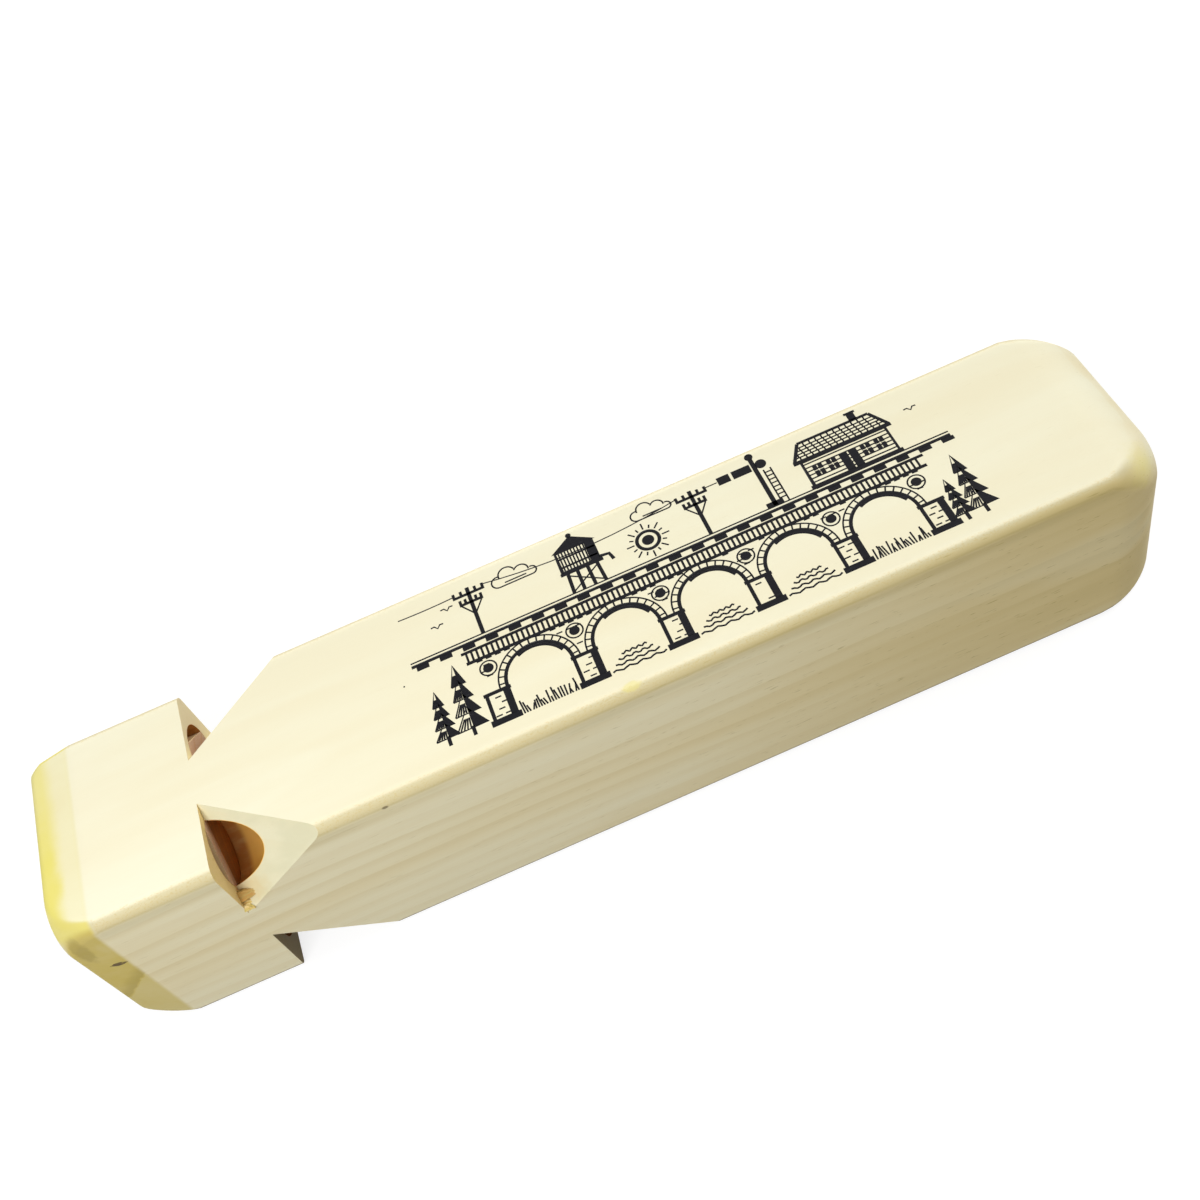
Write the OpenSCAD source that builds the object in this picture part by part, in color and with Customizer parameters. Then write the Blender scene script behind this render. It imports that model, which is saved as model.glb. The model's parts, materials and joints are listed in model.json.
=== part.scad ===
// Wooden train whistle: a square block with four stopped pipes, one behind each long corner.
// Each pipe has a voicing notch across its corner and a glued plug that leaves a flat windway over it.
// X runs from the mouth end to the stopped end, Y from front to back and Z up, in millimetres.
// The origin lies under the middle of the block, on the face that it rests on.

/* [Block] */
// Length of the block, from the mouth face to the stopped end
body_length = 154.5; // [148:0.5:180]
// Side of the square section
body_side = 30; // [28:0.5:36]
// Radius of the four long edges
edge_radius = 1.8; // [0.6:0.2:3]

/* [Mouth end] */
// Length of the four tapers that slim the mouth end
taper_length = 6; // [4:0.1:10]
// How far the front taper comes in at the mouth face
taper_depth_front = 1.4; // [0.6:0.1:2]
// How far the back taper comes in at the mouth face
taper_depth_back = 0.7; // [0.6:0.1:2]
// How far the top and bottom tapers come in at the mouth face
taper_depth_faces = 0.7; // [0.6:0.1:2]
// Length of the soft edge between a taper and the mouth face
lip_length = 0.9; // [0.4:0.1:1.5]
// How far the soft edge comes in at the mouth face
lip_depth = 0.3; // [0.2:0.05:1]
// How far the soft edge bulges over a straight line
lip_crown = 0.1; // [0.02:0.02:0.14]
// Wood sanded off the two front hips between the tapers, along the diagonal of the mouth face
hip_ease_front = 2.4; // [0.4:0.1:2.8]
// Wood sanded off the two back hips between the tapers, along the diagonal of the mouth face
hip_ease_back = 1.6; // [0.4:0.1:2.8]
// How far the sanded hips run out along the long edges behind the tapers
hip_runout = 0.6; // [0.4:0.1:4]
// How far a sanded front hip bulges over a straight line
hip_crown_front = 0.45; // [0.05:0.05:0.6]
// How far a sanded back hip bulges over a straight line
hip_crown_back = 1.05; // [0.05:0.05:1.25]

/* [Stopped end] */
// Length of the round that ends the block
round_length = 7.3; // [5:0.1:10]
// How far the round comes in at the end face
round_depth = 3.7; // [2.5:0.1:5]
// How far the round bulges over a straight line
round_crown = 0.8; // [0.3:0.05:0.9]
// Wood sanded off the two front corners of the stopped end, along the diagonal of the end face
corner_ease_front = 1.7; // [0.4:0.1:2.4]
// Wood sanded off the two back corners of the stopped end, along the diagonal of the end face
corner_ease_back = 0.6; // [0.4:0.1:2.4]
// How far the sanded corners run out along the long edges behind the round
corner_runout = 1.5; // [0.5:0.1:4]
// How far a sanded corner bulges over a straight line
corner_crown = 0.9; // [0.4:0.1:1.4]

/* [Pipes] */
// Diameter of the four bores
bore_diameter = 10.2; // [8:0.2:11]
// Wood between a bore and the front or back face beside it
wall_sides = 2.4; // [1.8:0.1:3]
// Wood between a bore and the top or bottom face beside it
wall_faces = 1.3; // [1.3:0.1:2.6]
// Length of the top front pipe behind its plug
pipe_top_front = 112; // [50:1:118]
// Length of the top back pipe behind its plug
pipe_top_back = 93; // [50:1:118]
// Length of the bottom front pipe behind its plug
pipe_bottom_front = 77; // [50:1:118]
// Length of the bottom back pipe behind its plug
pipe_bottom_back = 64; // [50:1:118]

/* [Voicing notches] */
// Distance from the mouth face to the upright stop face of the notches
stop_distance = 22.2; // [18:0.1:28]
// How far a notch reaches over each of the two faces that it crosses
notch_reach = 11.3; // [10:0.1:12.5]
// Length of the ramp, from the stop face to where it runs out on the corner
ramp_length = 15.7; // [12:0.1:24]

/* [Plugs] */
// Height of the windway over the flat of a plug, at its middle
windway_height = 1.8; // [1:0.1:2.4]
// Film of glue around a plug
glue_gap = 0.05; // [0.02:0.01:0.2]

/* [Hidden] */
$fn = 96;

// Overshoot of a cutting shape past the wood that it cuts
cut_margin = 2;
// How far over the rounded long edges the sanding of the hips and corners starts
sanding_margin = 0.3;
pine_colour = [0.96, 0.90, 0.74];
plug_colour = [0.86, 0.74, 0.56];

// Corners of the section, as the side that each lies on in Y and in Z
top_front = [-1, 1];
top_back = [1, 1];
bottom_front = [-1, -1];
bottom_back = [1, -1];

half_side = body_side / 2;
mouth_x = -body_length / 2;
end_x = body_length / 2;
taper_x = mouth_x + taper_length;
stop_x = mouth_x + stop_distance;

// Round of the stopped end, as points of X against the distance from the block's middle
round_start = [end_x - round_length, half_side];
round_end = [end_x, half_side - round_depth];

// Sanded hips and corners, as points of X against the distance from the block's axis
corner_distance = half_side * sqrt(2);
edge_distance = (half_side - edge_radius) * sqrt(2) + edge_radius;
hip_start = [taper_x + hip_runout, edge_distance + sanding_margin];
corner_start = [round_start.x - corner_runout, edge_distance + sanding_margin];

// Pipes: the axis of a bore lies this far from the block's axis
bore_radius = bore_diameter / 2;
bore_y = half_side - wall_sides - bore_radius;
bore_z = half_side - wall_faces - bore_radius;

// Notches and windways, measured outwards along the diagonal through a corner
notch_depth = notch_reach / sqrt(2);
notch_root = corner_distance - notch_depth;
notch_top = corner_distance + cut_margin;
notch_end_x = stop_x + ramp_length * (1 + cut_margin / notch_depth);
windway_floor = (bore_y + bore_z) / sqrt(2) + bore_radius - windway_height;

// Distance from the block's middle to the edge of the mouth face on a side with a taper of this depth
function mouth_half(depth) = half_side - depth - lip_depth;

// Places its children on the block's axis, with Z pointing out through one corner
module facing_corner(corner) {
    translate([0, 0, half_side])
        rotate([atan2(-corner.x, corner.y), 0, 0])
            children();
}

// Rod along the axis of one pipe, from outside the mouth face
module pipe_rod(corner, to_x, radius) {
    translate([mouth_x - cut_margin, corner.x * bore_y, half_side + corner.y * bore_z])
        rotate([0, 90, 0])
            cylinder(h = to_x - mouth_x + cut_margin, r = radius);
}

// Cross-section of the block, with its rounded long edges
module section_profile() {
    inner_side = body_side - 2 * edge_radius;
    square([body_side, inner_side], center = true);
    square([inner_side, body_side], center = true);
    for (side_y = [-1, 1], side_z = [-1, 1])
        translate([side_y * inner_side / 2, side_z * inner_side / 2])
            circle(edge_radius);
}

// Waste outside an arc that bulges outwards between a point on the block's side and one on its end
module arc_waste(side_point, end_point, crown) {
    way = end_point - side_point;
    chord = norm(way);
    radius = chord * chord / (8 * crown) + crown / 2;
    inward = [way.y, -way.x] * sign(way.x) / chord;
    reach_x = way.x + sign(way.x) * cut_margin;
    difference() {
        translate([min(side_point.x, side_point.x + reach_x), end_point.y])
            square([abs(reach_x), cut_margin - way.y]);
        translate((side_point + end_point) / 2 + inward * (radius - crown))
            circle(radius);
    }
}

// Waste beside one taper of the mouth end, with the soft edge of the mouth face
module taper_waste(depth) {
    slope = depth / taper_length;
    lip_start = [mouth_x + lip_length, half_side - depth + lip_length * slope];
    polygon([
        [mouth_x - cut_margin, half_side - depth - cut_margin * slope],
        [taper_x + cut_margin, half_side + cut_margin * slope],
        [mouth_x - cut_margin, half_side + cut_margin]
    ]);
    arc_waste(lip_start, [mouth_x, mouth_half(depth)], lip_crown);
}

// Waste at both ends of the face on the +Y side
module face_waste(taper_depth) {
    linear_extrude(body_side + cut_margin, center = true) {
        taper_waste(taper_depth);
        arc_waste(round_start, round_end, round_crown);
    }
}

// Waste around the hips and corners on the +Y side
module hip_waste(taper_depth, hip_ease, hip_crown, corner_ease) {
    mouth_diagonal = norm([mouth_half(taper_depth), mouth_half(taper_depth_faces)]);
    rotate([0, 90, 0])
        rotate_extrude(angle = 180)
            mirror([1, -1]) {
                arc_waste(hip_start, [mouth_x, mouth_diagonal - hip_ease], hip_crown);
                arc_waste(corner_start, [end_x, round_end.y * sqrt(2) - corner_ease], corner_crown);
            }
}

// Block before it is drilled and notched
module solid_block() {
    translate([0, 0, half_side])
        difference() {
            rotate([90, 0, 90])
                linear_extrude(body_length, center = true)
                    section_profile();
            face_waste(taper_depth_back);
            hip_waste(taper_depth_back, hip_ease_back, hip_crown_back, corner_ease_back);
            rotate([180, 0, 0]) {
                face_waste(taper_depth_front);
                hip_waste(taper_depth_front, hip_ease_front, hip_crown_front, corner_ease_front);
            }
            for (turn = [-90, 90])
                rotate([turn, 0, 0])
                    face_waste(taper_depth_faces);
        }
}

// Wedge that a notch takes out of a corner
module notch_wedge() {
    rotate([90, 0, 0])
        linear_extrude(2 * body_side, center = true)
            polygon([
                [stop_x, notch_root],
                [stop_x, notch_top],
                [notch_end_x, notch_top]
            ]);
}

// Bore and notch of one pipe
module pipe_cut(corner, pipe_length) {
    pipe_rod(corner, stop_x + pipe_length, bore_radius);
    facing_corner(corner)
        notch_wedge();
}

// Plug of one pipe: a dowel with a flat that faces its corner, sanded flush with the mouth end
module windway_plug(corner) {
    intersection() {
        solid_block();
        difference() {
            pipe_rod(corner, stop_x, bore_radius - glue_gap);
            facing_corner(corner)
                translate([mouth_x - 2 * cut_margin, -body_side / 2, windway_floor])
                    cube([stop_distance + 4 * cut_margin, body_side, bore_diameter]);
        }
    }
}

module whistle_body() {
    color(pine_colour)
        difference() {
            solid_block();
            pipe_cut(top_front, pipe_top_front);
            pipe_cut(top_back, pipe_top_back);
            pipe_cut(bottom_front, pipe_bottom_front);
            pipe_cut(bottom_back, pipe_bottom_back);
        }
}

module plug_top_front() {
    color(plug_colour)
        windway_plug(top_front);
}

module plug_top_back() {
    color(plug_colour)
        windway_plug(top_back);
}

module plug_bottom_front() {
    color(plug_colour)
        windway_plug(bottom_front);
}

module plug_bottom_back() {
    color(plug_colour)
        windway_plug(bottom_back);
}

whistle_body();
plug_top_front();
plug_top_back();
plug_bottom_front();
plug_bottom_back();
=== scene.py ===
"""Looks of a wooden train whistle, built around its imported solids."""
import json
import math
import random
from contextlib import contextmanager
from functools import cached_property
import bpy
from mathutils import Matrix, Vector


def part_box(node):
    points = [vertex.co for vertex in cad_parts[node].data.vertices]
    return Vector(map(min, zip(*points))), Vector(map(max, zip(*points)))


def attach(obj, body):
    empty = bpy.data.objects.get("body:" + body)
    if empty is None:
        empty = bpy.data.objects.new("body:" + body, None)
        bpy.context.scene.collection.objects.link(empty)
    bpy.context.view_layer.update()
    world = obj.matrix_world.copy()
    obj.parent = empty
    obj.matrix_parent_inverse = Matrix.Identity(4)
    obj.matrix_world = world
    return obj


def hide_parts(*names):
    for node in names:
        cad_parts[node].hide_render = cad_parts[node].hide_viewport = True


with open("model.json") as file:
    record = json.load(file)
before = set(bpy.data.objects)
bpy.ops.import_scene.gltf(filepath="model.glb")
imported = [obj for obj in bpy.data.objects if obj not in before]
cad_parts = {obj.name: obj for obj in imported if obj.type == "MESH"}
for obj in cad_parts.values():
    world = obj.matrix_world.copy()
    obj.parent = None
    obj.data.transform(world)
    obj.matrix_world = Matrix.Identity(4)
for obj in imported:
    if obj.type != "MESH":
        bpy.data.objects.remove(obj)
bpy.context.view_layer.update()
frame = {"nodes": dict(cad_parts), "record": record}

from types import SimpleNamespace

import bpy
from bpy.props import FloatProperty, FloatVectorProperty, IntProperty, PointerProperty
from mathutils import Matrix, Vector

bl_info = {
    "name": "Wooden train whistle",
    "version": (1, 0, 0),
    "blender": (4, 5, 0),
    "location": "3D View > Sidebar > Whistle",
    "description": "Dresses the solids of a wooden train whistle with pine, a print and a stage",
    "category": "Object",
}

MM = 0.001
BODY = "root"
PLUGS = ("plug_top_front", "plug_top_back", "plug_bottom_front", "plug_bottom_back")

# Places on the block in millimetres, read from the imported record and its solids
BLOCK_LOW, BLOCK_HIGH = (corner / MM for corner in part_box("whistle_body"))
OPENINGS = {o["name"]: [Vector(p) / MM for p in o["box_m"]] for o in frame["record"]["physics"]["openings"]}
PIPE_LOW, PIPE_HIGH = OPENINGS["top_back_pipe"]
MID_Z = (BLOCK_LOW.z + BLOCK_HIGH.z) / 2
BORE_Y = (PIPE_LOW.y + PIPE_HIGH.y) / 2
BORE_Z = (PIPE_LOW.z + PIPE_HIGH.z) / 2 - MID_Z
STOP_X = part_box("plug_top_front")[1].x / MM
MOUTH_X = BLOCK_LOW.x
END_X = BLOCK_HIGH.x
TOP_Z = BLOCK_HIGH.z
FRONT_Y = BLOCK_LOW.y
HALF_SIDE = 15.0

# Pipes: the sides that each lies on in Y and in Z, and where it ends in X
PIPES = [
    (1 if "back" in name else -1, 1 if "top" in name else -1, box[1].x)
    for name, box in OPENINGS.items() if name.endswith("_pipe")]


# Sizes and colours that a user would change

def shade(name, description, default):
    """Colour as linear red, green and blue"""
    return FloatVectorProperty(
        name=name, description=description, subtype="COLOR", size=3, min=0, max=1, default=default)


def distance(name, description, low, default, high):
    """Length in metres, whose limits and default are given in millimetres"""
    return FloatProperty(
        name=name, description=description, unit="LENGTH", precision=5,
        min=low * MM, default=default * MM, max=high * MM)


def portion(name, description, default):
    """Share of full light"""
    return FloatProperty(name=name, description=description, subtype="FACTOR", min=0, max=3, default=default)


def in_millimetres(group):
    """Values of a property group that holds nothing but lengths"""
    return SimpleNamespace(**{name: getattr(group, name) / MM for name in type(group).__annotations__})


class WhistleWood(bpy.types.PropertyGroup):
    """Colours and grain of the pine and the plugs"""
    early: shade("Early wood", "Pale wood between the ring lines", (0.92, 0.89, 0.68))
    late: shade("Late wood", "Darker lines of the growth rings", (0.80, 0.65, 0.34))
    end_grain: shade("End grain", "Wood cut across the fibres", (0.80, 0.61, 0.26))
    resin: shade("Resin yellow", "Sanded strip along the mouth", (0.83, 0.74, 0.19))
    taper_brown: shade("Taper brown", "Sanded side tapers of the mouth end", (0.60, 0.475, 0.12))
    # Also laid as painted shade on the long edge roundings and in a band under the front edge
    heart_brown: shade("Heart brown", "Dark ring and wedge on the front taper", (0.40, 0.31, 0.085))
    # Also laid as painted shade along the lower edges and on the lower stop faces
    bark: shade("Bark", "Sliver of bark in the front taper", (0.09, 0.06, 0.025))
    bore_brown: shade("Bore brown", "Drilled wall of the pipes", (0.55, 0.235, 0.05))
    # Painted light: pale colour of the pipe walls under the ramps, where light comes in through the notches
    bore_lit: shade("Bore tan", "Drilled wall under the ramps of the notches", (0.97, 0.58, 0.12))
    plug_brown: shade("Plug", "Cut end of the glued plugs", (0.33, 0.135, 0.045))
    plug_pink: shade("Plug edge", "Edge of the plugs beside the windway", (0.66, 0.45, 0.29))
    ramp_pale: shade("Ramp", "Sawn ramps of the notches", (0.71, 0.68, 0.46))
    stop_tan: shade("Stop face", "Sawn stop faces of the notches", (0.75, 0.57, 0.25))
    ring_spacing: distance("Ring spacing", "Distance between two growth rings", 0.5, 2.9, 10)


class WhistleBlock(bpy.types.PropertyGroup):
    """Sanded shape of the block"""
    edge_radius: distance("Edge radius", "Radius of the upper long edges", 0.5, 1.8, 4)
    edge_radius_bottom: distance("Lower edge radius", "Radius of the lower long edges", 0.5, 1.0, 4)
    taper_length: distance("Taper length", "Length of the tapers of the mouth end", 2, 6.0, 12)
    taper_front: distance("Front taper", "How far the front taper comes in at the mouth", 0, 1.4, 4)
    taper_other: distance("Other tapers", "How far the other tapers come in at the mouth", 0, 0.7, 4)
    hip_front_top: distance("Front top hip", "Wood sanded off this hip at the mouth", 0, 2.4, 4)
    hip_front_bottom: distance("Front bottom hip", "Wood sanded off this hip at the mouth", 0, 1.7, 4)
    hip_back: distance("Back hips", "Wood sanded off the back hips at the mouth", 0, 1.0, 4)
    round_length: distance("End round", "Length of the round at the stopped end", 3, 7.3, 12)
    round_depth: distance("End round depth", "How far that round comes in", 1, 3.7, 6)
    round_depth_bottom: distance("Lower end round", "How far it comes in on the bottom", 0.5, 1.8, 6)
    corner_front_top: distance("Front top corner", "Wood sanded off it at the stopped end", 0, 1.9, 4)
    corner_other: distance("Other corners", "Wood sanded off them at the stopped end", 0, 0.6, 4)
    bore_radius: distance("Bore radius", "Radius of the drilled pipes", 3, 5.1, 7)
    notch_front: distance("Front notches", "How far they reach over a face", 8, 11.3, 13)
    notch_back: distance("Back notches", "How far they reach over a face", 8, 11.7, 13)
    ramp_length: distance("Ramp", "Length of the ramp of a notch", 8, 15.7, 24)


class WhistlePrint(bpy.types.PropertyGroup):
    """Printed picture on the top face"""
    ink: shade("Ink", "Colour of the print", (0.005, 0.005, 0.007))
    left: distance("Left end", "Where the picture starts along the block", -77, -23.2, 77)
    foot: distance("Foot", "Where the picture's ground lies across the block", -15, -11.4, 15)
    film: distance("Film", "Thickness of the ink", 0.005, 0.02, 0.2)
    fine: distance("Fine line", "Width of the thin lines", 0.05, 0.24, 1)
    bold: distance("Bold line", "Width of the outlines", 0.1, 0.52, 2)
    seed: IntProperty(name="Seed", description="Which scatter of bricks and grass is drawn", default=7)


class WhistleStage(bpy.types.PropertyGroup):
    """Camera, floor and light"""
    eye: FloatVectorProperty(
        name="Camera", description="Where the camera stands", subtype="TRANSLATION", unit="LENGTH",
        size=3, default=(-0.94 * MM, -113.26 * MM, 178.13 * MM))
    lens: FloatProperty(
        name="Lens", description="Focal length in millimetres", unit="CAMERA",
        min=10, max=200, default=42.606)
    key_share: portion("Right light", "Light from the lamp beyond the stopped end", 0.49)
    side_share: portion("Left light", "Light from the lamp before the mouth end", 0.62)
    fill_share: portion("Front light", "Light from the low lamp before the front face", 0.085)
    back_share: portion("Back light", "Light from the low lamp behind the block", 0.62)
    sky_share: portion("Sky light", "Light from all round", 0.370)
    floor_bounce: shade("Floor bounce", "Light that the floor throws back", (0.13, 0.115, 0.08))


# Shader helpers

NODE_WIDTH, NODE_HEIGHT, NODE_COLUMNS = 180, 220, 12
RAGGED = 0.5
RAGGED_NOISE = (1.4, 1.4, 1.4)


class Graph:
    """Adds and joins the nodes of one shader tree."""

    def __init__(self, tree):
        self.tree = tree

    def add(self, kind, inputs=None, **settings):
        """New node, laid out in rows"""
        made = self.tree.nodes.new(kind)
        row, column = divmod(len(self.tree.nodes), NODE_COLUMNS)
        made.location = (NODE_WIDTH * column, -NODE_HEIGHT * row)
        for name, value in settings.items():
            setattr(made, name, value)
        for name, value in (inputs or {}).items():
            self.put(made.inputs[name], value)
        return made

    def put(self, socket, value):
        """Feeds a socket from another one, or sets its value"""
        if isinstance(value, bpy.types.NodeSocket):
            self.tree.links.new(value, socket)
        elif socket.type == "RGBA" and len(value) == 3:
            socket.default_value = (*value, 1.0)
        else:
            socket.default_value = value

    def feed(self, made, *values):
        """Feeds the sockets of a node in their order"""
        for socket, value in zip(made.inputs, values):
            self.put(socket, value)
        return made.outputs

    def calc(self, operation, *values):
        return self.feed(self.add("ShaderNodeMath", operation=operation), *values)[0]

    def fold(self, operation, values):
        result = values[0]
        for value in values[1:]:
            result = self.calc(operation, result, value)
        return result

    def both(self, *masks):
        """Product of masks and strengths"""
        return self.fold("MULTIPLY", masks)

    def either(self, *masks):
        """Strongest of the masks"""
        return self.fold("MAXIMUM", masks)

    def hypot(self, first, second):
        squares = (self.calc("POWER", side, 2.0) for side in (first, second))
        return self.calc("SQRT", self.calc("ADD", *squares))

    def step(self, value, low, high, out_low=0.0, out_high=1.0):
        """Smooth step between two values"""
        made = self.add("ShaderNodeMapRange", interpolation_type="SMOOTHSTEP", clamp=True)
        return self.feed(made, value, low, high, out_low, out_high)[0]

    def fall(self, value, low, high):
        """Smooth step down, from one to nought"""
        return self.step(value, low, high, 1.0, 0.0)

    def mix(self, factor, first, second):
        made = self.add("ShaderNodeMix", data_type="RGBA", blend_type="MIX", clamp_factor=True)
        for index, value in ((0, factor), (6, first), (7, second)):
            self.put(made.inputs[index], value)
        return made.outputs[2]

    def tint(self, colour, over, *masks):
        """Lays one colour over another where all masks are, by the strengths given with them"""
        return self.mix(self.both(*masks), colour, over)

    def stretch(self, vector, factors):
        return self.feed(self.add("ShaderNodeVectorMath", operation="MULTIPLY"), vector, factors)[0]

    def noise(self, vector, factors, detail, roughness=0.5):
        """Noise with as many lumps to a millimetre along each axis as the factors say"""
        lumps = self.stretch(vector, factors)
        inputs = {"Vector": lumps, "Scale": 1, "Detail": detail, "Roughness": roughness}
        return self.add("ShaderNodeTexNoise", inputs, noise_dimensions="3D", normalize=True).outputs[0]

    def off_line(self, u, v, start, end):
        """Distance from a straight line on a face, to the left of its run"""
        run = (Vector(end) - Vector(start)).normalized()
        left = Vector((-run.y, run.x))
        from_v = self.calc("MULTIPLY_ADD", v, left.y, -left.dot(Vector(start)))
        return self.calc("MULTIPLY_ADD", u, left.x, from_v)

    def split(self, vector):
        return self.add("ShaderNodeSeparateXYZ", {"Vector": vector}).outputs


class Surface(Graph):
    """Graph of a new material, with the places and directions that its masks start from."""

    def __init__(self, name):
        self.material = bpy.data.materials.new(name)
        self.material.use_nodes = True
        super().__init__(self.material.node_tree)
        self.shader = self.tree.nodes["Principled BSDF"]
        self.colour = None

    @cached_property
    def place(self):
        """Position on the object, in millimetres"""
        seen = self.add("ShaderNodeTexCoord").outputs["Object"]
        return self.stretch(seen, (1 / MM,) * 3)

    @cached_property
    def xyz(self):
        return self.split(self.place)

    @cached_property
    def facing(self):
        """Direction that the surface faces"""
        return self.split(self.add("ShaderNodeNewGeometry").outputs["Normal"])

    @cached_property
    def along(self):
        return self.calc("ABSOLUTE", self.facing[0])

    @cached_property
    def across(self):
        return self.calc("ABSOLUTE", self.facing[1])

    @cached_property
    def upward(self):
        return self.calc("ABSOLUTE", self.facing[2])

    def grain(self, factors, detail, roughness=0.5):
        """Noise on the object"""
        return self.noise(self.place, factors, detail, roughness)

    def blot(self, centre, radii, core=0.5):
        """Ragged spot around a point: one inside its core, nought past its rim"""
        away = self.add("ShaderNodeVectorMath", {0: self.place, 1: centre}, operation="SUBTRACT")
        scaled = self.stretch(away.outputs[0], tuple(1 / radius for radius in radii))
        reach = self.add("ShaderNodeVectorMath", {0: scaled}, operation="LENGTH").outputs["Value"]
        rim = self.calc("MULTIPLY_ADD", self.grain(RAGGED_NOISE, 2), RAGGED, -RAGGED / 2)
        return self.fall(self.calc("ADD", reach, rim), core, 1.0)

    def wood(self, pith, spacing):
        """Rings, figure, fibres and pores of wood with its pith at a place in Y and Z"""
        return self.feed(self.add("ShaderNodeGroup", node_tree=grain_group()), self.place, *pith, spacing)

    def lay(self, over, *masks):
        """Lays a colour over all that the surface has so far"""
        self.colour = self.tint(self.colour, over, *masks)

    def finish(self, roughness, bump=None, specular=0.5):
        """Feeds the shader; a bump has a height, a strength and a distance"""
        inputs = self.shader.inputs
        self.put(inputs["Base Color"], self.colour)
        self.put(inputs["Roughness"], roughness)
        self.put(inputs["Specular IOR Level"], specular)
        if bump:
            made = self.add("ShaderNodeBump", dict(zip(("Height", "Strength", "Distance"), bump)))
            self.put(inputs["Normal"], made.outputs[0])
        return self.material


def grain_group():
    """Shader group with the growth rings, figure, fibres and pores of wood whose fibres run along X"""
    name = "Wood grain"
    if name in bpy.data.node_groups:
        return bpy.data.node_groups[name]
    tree = bpy.data.node_groups.new(name, "ShaderNodeTree")
    tree.interface.new_socket("Position", in_out="INPUT", socket_type="NodeSocketVector")
    for socket in ("Pith Y", "Pith Z", "Spacing"):
        tree.interface.new_socket(socket, in_out="INPUT", socket_type="NodeSocketFloat")
    for socket in ("Rings", "Figure", "Fibres", "Pores"):
        tree.interface.new_socket(socket, in_out="OUTPUT", socket_type="NodeSocketFloat")
    g = Graph(tree)
    place, pith_y, pith_z, spacing = tree.nodes.new("NodeGroupInput").outputs[:4]
    result = tree.nodes.new("NodeGroupOutput").inputs
    x, y, z = g.split(place)
    wander = g.calc("SUBTRACT", g.noise(place, (0.010, 0.045, 0.045), 2), 0.5)
    reach = g.hypot(g.calc("SUBTRACT", y, pith_y), g.calc("SUBTRACT", z, pith_z))
    reach = g.calc("MULTIPLY_ADD", wander, 7.0, reach)
    reach = g.calc("MULTIPLY_ADD", x, 0.012, reach)
    turns = g.calc("DIVIDE", reach, spacing)
    part = g.calc("FRACT", turns)
    own = g.add("ShaderNodeTexWhiteNoise", {"W": g.calc("FLOOR", turns)}, noise_dimensions="1D").outputs[0]
    line = g.both(g.step(part, 0.25, 0.88), g.fall(part, 0.90, 1.0))
    g.put(result["Rings"], g.both(line, g.calc("MULTIPLY_ADD", own, 0.95, 0.05)))
    g.put(result["Figure"], g.noise(place, (0.012, 0.11, 0.11), 3))
    g.put(result["Fibres"], g.noise(place, (0.22, 5.5, 5.5), 3, 0.6))
    g.put(result["Pores"], g.step(g.noise(place, (0.45, 4.5, 4.5), 1), 0.68, 0.78))
    return tree


# Mesh helpers

def wear(piece, material):
    """Gives a piece one material"""
    piece.data.materials.clear()
    piece.data.materials.append(material)


def hand_over(piece, material):
    """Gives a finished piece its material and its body"""
    wear(piece, material)
    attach(piece, BODY)


def deselect():
    bpy.ops.object.select_all(action="DESELECT")


def select_all():
    """Selects all points, in edit mode"""
    bpy.ops.mesh.select_all(action="SELECT")


def select_points(piece, test):
    """Leaves only the points that pass a test selected, in edit mode"""
    bpy.ops.mesh.select_all(action="DESELECT")
    bpy.ops.object.mode_set(mode="OBJECT")
    for point in piece.data.vertices:
        point.select = test(point.co)
    bpy.ops.object.mode_set(mode="EDIT")


@contextmanager
def editing():
    """Edit mode on the active piece, with all of its points selected"""
    bpy.ops.object.mode_set(mode="EDIT")
    select_all()
    yield bpy.context.object
    bpy.ops.object.mode_set(mode="OBJECT")


def move(x, y, z):
    """Moves the selected points"""
    bpy.ops.transform.translate(value=(x, y, z))


def scale(x, y, z, about=(0, 0, 0)):
    """Scales the selected points about a point"""
    bpy.ops.transform.resize(value=(x, y, z), center_override=about)


def face_outwards():
    select_all()
    bpy.ops.mesh.normals_make_consistent(inside=False)


def apply_place():
    """Puts a piece's place and turn into its mesh"""
    bpy.ops.object.transform_apply(location=True, rotation=True, scale=True)


def put_down(piece, name, origin, ahead, outward):
    """Lays a piece on a face, along a direction, with its place in its mesh"""
    ahead, outward = Vector(ahead).normalized(), Vector(outward).normalized()
    aside = outward.cross(ahead).normalized()
    turn = Matrix((aside.cross(outward), aside, outward)).transposed().to_4x4()
    piece.matrix_world = Matrix.Translation(Vector(origin) * MM) @ turn
    apply_place()
    piece.name = piece.data.name = name


@contextmanager
def editing_wedge(length, width, height, lift):
    """Edit mode on a new box along X from the origin, its lower far edge lifted by a share of its height"""
    deselect()
    bpy.ops.mesh.primitive_cube_add(size=MM, location=(MM / 2, 0, MM / 2))
    apply_place()
    with editing() as wedge:
        scale(length, width, height)
        select_points(wedge, lambda place: place.x > length * MM / 2 and place.z < height * MM / 2)
        move(0, 0, lift * height * MM)
        yield wedge


# Wood of the block and its plugs

PINE_PITH = (-4.0, -75.0)
PLUG_PITH, PLUG_RING_SPACING = (3.0, 4.0), 1.1
RING_START, RING_END = (-76.27, 9.55), (-71.48, 15.16)
TORN_Z = 20.6

# Spots on the block: middle, radii, core, colour and strength
SPOTS = (
    ((-75.8, -2.5, TOP_Z), (1.7, 3.0, 2.5), 0.0, "resin", 0.9),
    ((-75.2, -6.7, TOP_Z), (1.7, 3.0, 2.5), 0.0, "resin", 0.9),
    ((74.4, -12.4, 27.4), (5.0, 4.2, 4.0), 0.0, "resin", 0.45),
    ((2.3, -13.9, TOP_Z), (1.6, 0.8, 1.0), 0.5, "resin", 0.45),
    ((-32.06, FRONT_Y, 28.63), (0.55, 0.6, 0.28), 0.5, "bark", 0.70))


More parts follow.
